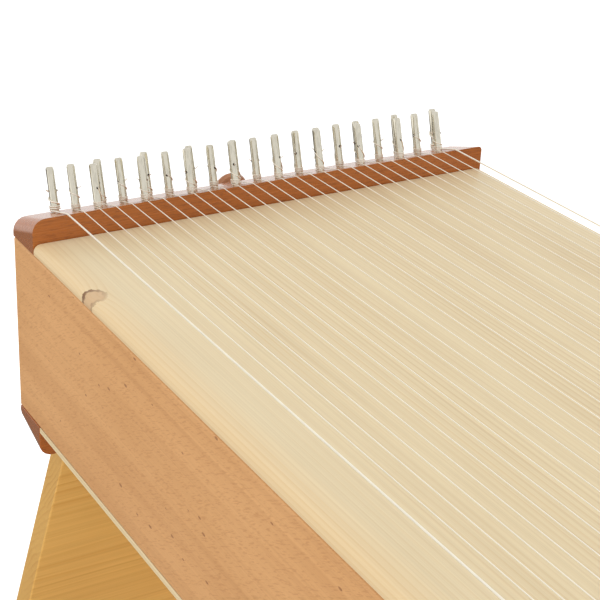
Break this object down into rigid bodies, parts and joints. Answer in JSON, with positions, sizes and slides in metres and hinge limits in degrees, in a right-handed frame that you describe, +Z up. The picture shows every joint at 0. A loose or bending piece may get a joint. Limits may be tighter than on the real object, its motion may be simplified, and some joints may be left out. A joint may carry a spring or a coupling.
{
  "type": "monochord",
  "caption": "Long shallow sound box strung lengthwise, tuned by pins in a wedge-shaped head bar, resting on a panel stand with a wedged stretcher.",
  "frame": {"origin": "centre of the object's base on the floor, under the middle of the sound box", "axes": "+Y along the strings towards the tuning pins, +X across the strings, +Z up"},
  "size_m": [0.5406, 1.2694, 0.6651],
  "materials": {
    "soundboard_spruce": "satin, fine lengthwise grain",
    "back_spruce": "satin",
    "side_alder": "satin oiled hardwood",
    "bar_mahogany": "lacquered reddish hardwood",
    "knob_mahogany": "turned and oiled",
    "brace_spruce": "planed, unfinished",
    "stand_pine": "oiled edge-glued pine",
    "pin_nickel": "nickel plated",
    "string_steel": "drawn wire"
  },
  "bodies": {
    "instrument_and_stand": {"soundboard": "soundboard_spruce", "back_plate": "back_spruce", "side_panel_left": "side_alder", "side_panel_right": "side_alder", "head_panel": "side_alder", "tail_panel": "side_alder", "head_bar": "bar_mahogany", "tail_bar": "bar_mahogany", "head_bar_lower": "bar_mahogany", "tail_bar_lower": "bar_mahogany", "head_knob": "knob_mahogany", "string_set": "string_steel", "soundboard_brace_1": "brace_spruce", "soundboard_brace_2": "brace_spruce", "soundboard_brace_3": "brace_spruce", "back_brace_head": "brace_spruce", "back_brace_tail": "brace_spruce", "stand_end_head": "stand_pine", "stand_end_tail": "stand_pine", "stretcher": "stand_pine", "stretcher_wedge_head": "stand_pine", "stretcher_wedge_tail": "stand_pine"},
    "pin_01": {"tuning_pin_01": "pin_nickel"},
    "pin_02": {"tuning_pin_02": "pin_nickel"},
    "pin_03": {"tuning_pin_03": "pin_nickel"},
    "pin_04": {"tuning_pin_04": "pin_nickel"},
    "pin_05": {"tuning_pin_05": "pin_nickel"},
    "pin_06": {"tuning_pin_06": "pin_nickel"},
    "pin_07": {"tuning_pin_07": "pin_nickel"},
    "pin_08": {"tuning_pin_08": "pin_nickel"},
    "pin_09": {"tuning_pin_09": "pin_nickel"},
    "pin_10": {"tuning_pin_10": "pin_nickel"},
    "pin_11": {"tuning_pin_11": "pin_nickel"},
    "pin_12": {"tuning_pin_12": "pin_nickel"},
    "pin_13": {"tuning_pin_13": "pin_nickel"},
    "pin_14": {"tuning_pin_14": "pin_nickel"},
    "pin_15": {"tuning_pin_15": "pin_nickel"},
    "pin_16": {"tuning_pin_16": "pin_nickel"},
    "pin_17": {"tuning_pin_17": "pin_nickel"},
    "pin_18": {"tuning_pin_18": "pin_nickel"},
    "pin_19": {"tuning_pin_19": "pin_nickel"},
    "pin_20": {"tuning_pin_20": "pin_nickel"},
    "pin_21": {"tuning_pin_21": "pin_nickel"},
    "pin_22": {"tuning_pin_22": "pin_nickel"},
    "pin_23": {"tuning_pin_23": "pin_nickel"},
    "pin_24": {"tuning_pin_24": "pin_nickel"},
    "pin_25": {"tuning_pin_25": "pin_nickel"},
    "pin_26": {"tuning_pin_26": "pin_nickel"},
    "pin_27": {"tuning_pin_27": "pin_nickel"},
    "pin_28": {"tuning_pin_28": "pin_nickel"}
  },
  "joints": [
    {"name": "pin_turn_01", "type": "hinge", "parent": "instrument_and_stand", "child": "pin_01", "pos_m": [-0.13925, 0.59466, 0.6316], "axis": [0, 0.2999, 0.954], "continuous": true},
    {"name": "pin_turn_02", "type": "hinge", "parent": "instrument_and_stand", "child": "pin_02", "pos_m": [-0.12894, 0.58608, 0.6343], "axis": [0, 0.2999, 0.954], "continuous": true},
    {"name": "pin_turn_03", "type": "hinge", "parent": "instrument_and_stand", "child": "pin_03", "pos_m": [-0.11837, 0.57654, 0.6373], "axis": [0, 0.2999, 0.954], "continuous": true},
    {"name": "pin_turn_04", "type": "hinge", "parent": "instrument_and_stand", "child": "pin_04", "pos_m": [-0.10781, 0.59466, 0.6316], "axis": [0, 0.2999, 0.954], "continuous": true},
    {"name": "pin_turn_05", "type": "hinge", "parent": "instrument_and_stand", "child": "pin_05", "pos_m": [-0.09725, 0.58608, 0.6343], "axis": [0, 0.2999, 0.954], "continuous": true},
    {"name": "pin_turn_06", "type": "hinge", "parent": "instrument_and_stand", "child": "pin_06", "pos_m": [-0.08668, 0.57654, 0.6373], "axis": [0, 0.2999, 0.954], "continuous": true},
    {"name": "pin_turn_07", "type": "hinge", "parent": "instrument_and_stand", "child": "pin_07", "pos_m": [-0.07612, 0.59466, 0.6316], "axis": [0, 0.2999, 0.954], "continuous": true},
    {"name": "pin_turn_08", "type": "hinge", "parent": "instrument_and_stand", "child": "pin_08", "pos_m": [-0.06556, 0.58608, 0.6343], "axis": [0, 0.2999, 0.954], "continuous": true},
    {"name": "pin_turn_09", "type": "hinge", "parent": "instrument_and_stand", "child": "pin_09", "pos_m": [-0.055, 0.57654, 0.6373], "axis": [0, 0.2999, 0.954], "continuous": true},
    {"name": "pin_turn_10", "type": "hinge", "parent": "instrument_and_stand", "child": "pin_10", "pos_m": [-0.04443, 0.59466, 0.6316], "axis": [0, 0.2999, 0.954], "continuous": true},
    {"name": "pin_turn_11", "type": "hinge", "parent": "instrument_and_stand", "child": "pin_11", "pos_m": [-0.03387, 0.58608, 0.6343], "axis": [0, 0.2999, 0.954], "continuous": true},
    {"name": "pin_turn_12", "type": "hinge", "parent": "instrument_and_stand", "child": "pin_12", "pos_m": [-0.02331, 0.57654, 0.6373], "axis": [0, 0.2999, 0.954], "continuous": true},
    {"name": "pin_turn_13", "type": "hinge", "parent": "instrument_and_stand", "child": "pin_13", "pos_m": [-0.01274, 0.59466, 0.6316], "axis": [0, 0.2999, 0.954], "continuous": true},
    {"name": "pin_turn_14", "type": "hinge", "parent": "instrument_and_stand", "child": "pin_14", "pos_m": [-0.00218, 0.58608, 0.6343], "axis": [0, 0.2999, 0.954], "continuous": true},
    {"name": "pin_turn_15", "type": "hinge", "parent": "instrument_and_stand", "child": "pin_15", "pos_m": [0.00838, 0.57654, 0.6373], "axis": [0, 0.2999, 0.954], "continuous": true},
    {"name": "pin_turn_16", "type": "hinge", "parent": "instrument_and_stand", "child": "pin_16", "pos_m": [0.01894, 0.59466, 0.6316], "axis": [0, 0.2999, 0.954], "continuous": true},
    {"name": "pin_turn_17", "type": "hinge", "parent": "instrument_and_stand", "child": "pin_17", "pos_m": [0.02951, 0.58608, 0.6343], "axis": [0, 0.2999, 0.954], "continuous": true},
    {"name": "pin_turn_18", "type": "hinge", "parent": "instrument_and_stand", "child": "pin_18", "pos_m": [0.04007, 0.57654, 0.6373], "axis": [0, 0.2999, 0.954], "continuous": true},
    {"name": "pin_turn_19", "type": "hinge", "parent": "instrument_and_stand", "child": "pin_19", "pos_m": [0.05063, 0.59466, 0.6316], "axis": [0, 0.2999, 0.954], "continuous": true},
    {"name": "pin_turn_20", "type": "hinge", "parent": "instrument_and_stand", "child": "pin_20", "pos_m": [0.0612, 0.58608, 0.6343], "axis": [0, 0.2999, 0.954], "continuous": true},
    {"name": "pin_turn_21", "type": "hinge", "parent": "instrument_and_stand", "child": "pin_21", "pos_m": [0.07176, 0.57654, 0.6373], "axis": [0, 0.2999, 0.954], "continuous": true},
    {"name": "pin_turn_22", "type": "hinge", "parent": "instrument_and_stand", "child": "pin_22", "pos_m": [0.08232, 0.59466, 0.6316], "axis": [0, 0.2999, 0.954], "continuous": true},
    {"name": "pin_turn_23", "type": "hinge", "parent": "instrument_and_stand", "child": "pin_23", "pos_m": [0.09288, 0.58608, 0.6343], "axis": [0, 0.2999, 0.954], "continuous": true},
    {"name": "pin_turn_24", "type": "hinge", "parent": "instrument_and_stand", "child": "pin_24", "pos_m": [0.10345, 0.57654, 0.6373], "axis": [0, 0.2999, 0.954], "continuous": true},
    {"name": "pin_turn_25", "type": "hinge", "parent": "instrument_and_stand", "child": "pin_25", "pos_m": [0.11401, 0.59466, 0.6316], "axis": [0, 0.2999, 0.954], "continuous": true},
    {"name": "pin_turn_26", "type": "hinge", "parent": "instrument_and_stand", "child": "pin_26", "pos_m": [0.12457, 0.58608, 0.6343], "axis": [0, 0.2999, 0.954], "continuous": true},
    {"name": "pin_turn_27", "type": "hinge", "parent": "instrument_and_stand", "child": "pin_27", "pos_m": [0.13514, 0.57654, 0.6373], "axis": [0, 0.2999, 0.954], "continuous": true},
    {"name": "pin_turn_28", "type": "hinge", "parent": "instrument_and_stand", "child": "pin_28", "pos_m": [0.14595, 0.59466, 0.6316], "axis": [0, 0.2999, 0.954], "continuous": true}
  ]
}
